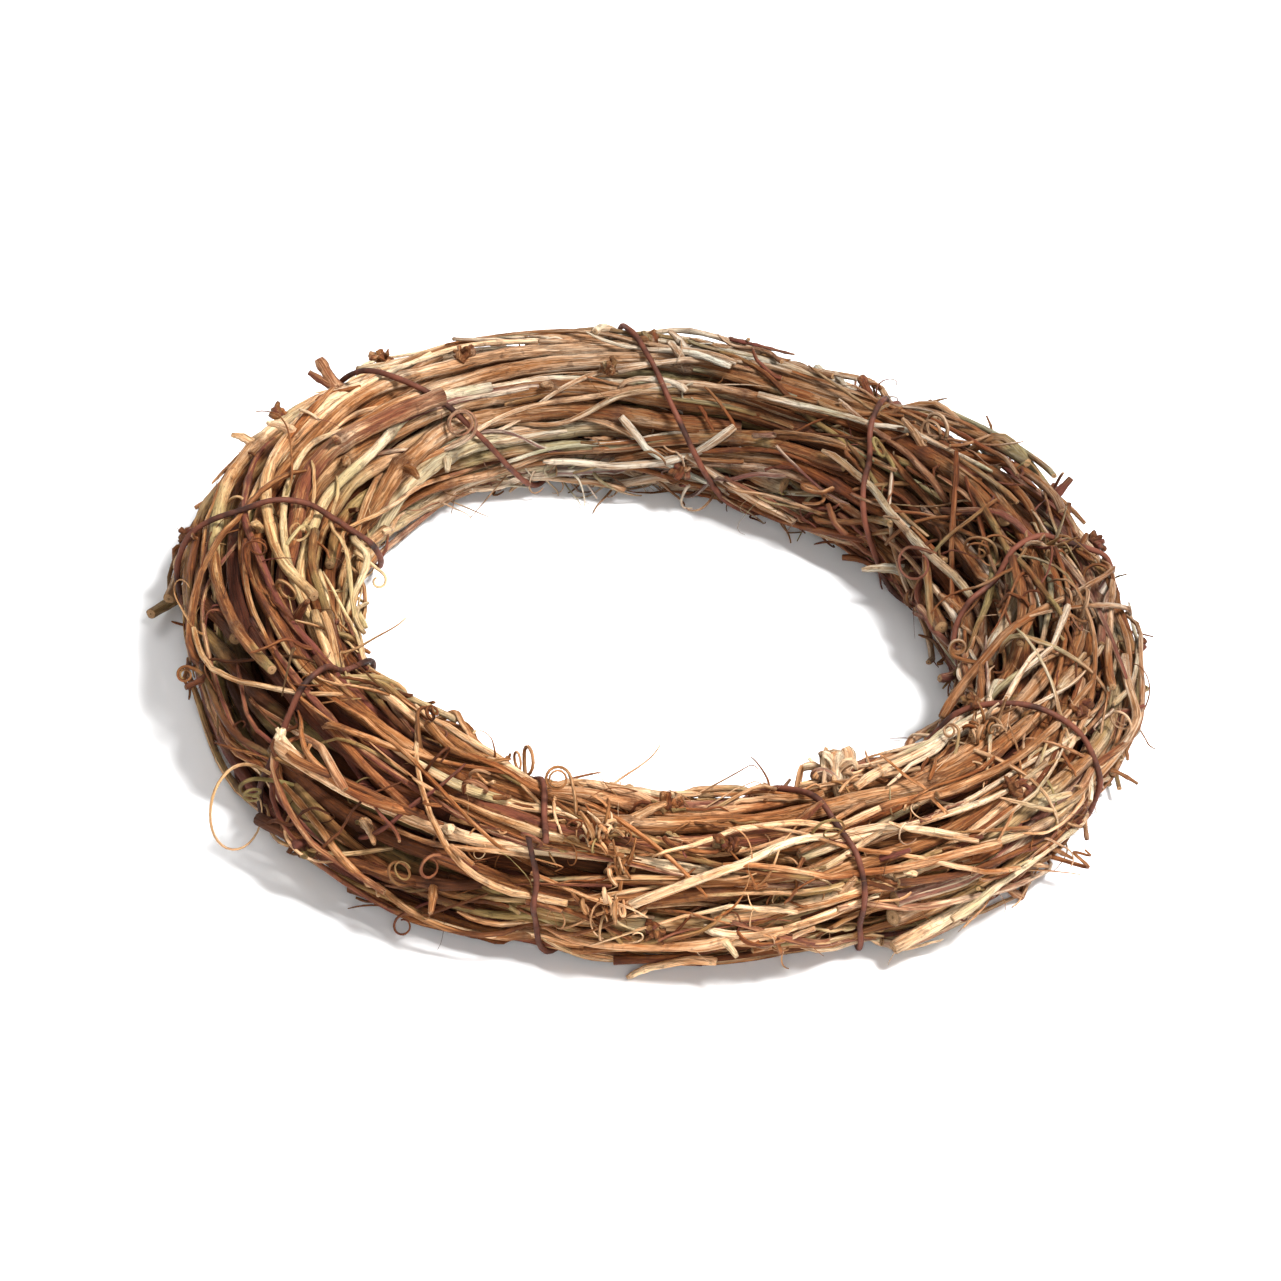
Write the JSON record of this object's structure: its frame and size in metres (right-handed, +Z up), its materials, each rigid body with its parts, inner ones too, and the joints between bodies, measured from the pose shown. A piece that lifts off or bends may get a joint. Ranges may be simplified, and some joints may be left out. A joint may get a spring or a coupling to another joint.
{
  "type": "grapevine wreath",
  "caption": "Small round wreath of dried grapevine canes and twigs coiled into a ring, with curly tendrils and cut side shoots, bound by a thin dark wire.",
  "frame": {"origin": "middle of the footprint, on the surface that the wreath rests on", "axes": "+Z up through the hole; -Y towards the picture's viewer; +X to that viewer's right"},
  "size_m": [0.1366, 0.1294, 0.0251],
  "materials": {
    "cane_bark": "dry stringy bark, matte",
    "twig_bark": "dry thin bark, matte",
    "wire": "dark, rusted"
  },
  "bodies": {
    "root": {"cane_1": "cane_bark", "cane_2": "cane_bark", "cane_3": "cane_bark", "cane_4": "cane_bark", "cane_5": "cane_bark", "cane_6": "cane_bark", "cane_7": "cane_bark", "cane_8": "cane_bark", "cane_9": "cane_bark", "cane_10": "cane_bark", "cane_11": "cane_bark", "cane_12": "cane_bark", "cane_13": "cane_bark", "cane_14": "cane_bark", "cane_15": "cane_bark", "cane_16": "cane_bark", "cane_17": "cane_bark", "cane_18": "cane_bark", "cane_19": "cane_bark", "cane_20": "cane_bark", "twig_1": "twig_bark", "twig_2": "twig_bark", "twig_3": "twig_bark", "twig_4": "twig_bark", "twig_5": "twig_bark", "twig_6": "twig_bark", "twig_7": "twig_bark", "twig_8": "twig_bark", "twig_9": "twig_bark", "twig_10": "twig_bark", "twig_11": "twig_bark", "twig_12": "twig_bark", "twig_13": "twig_bark", "binding_wire": "wire"}
  },
  "joints": []
}
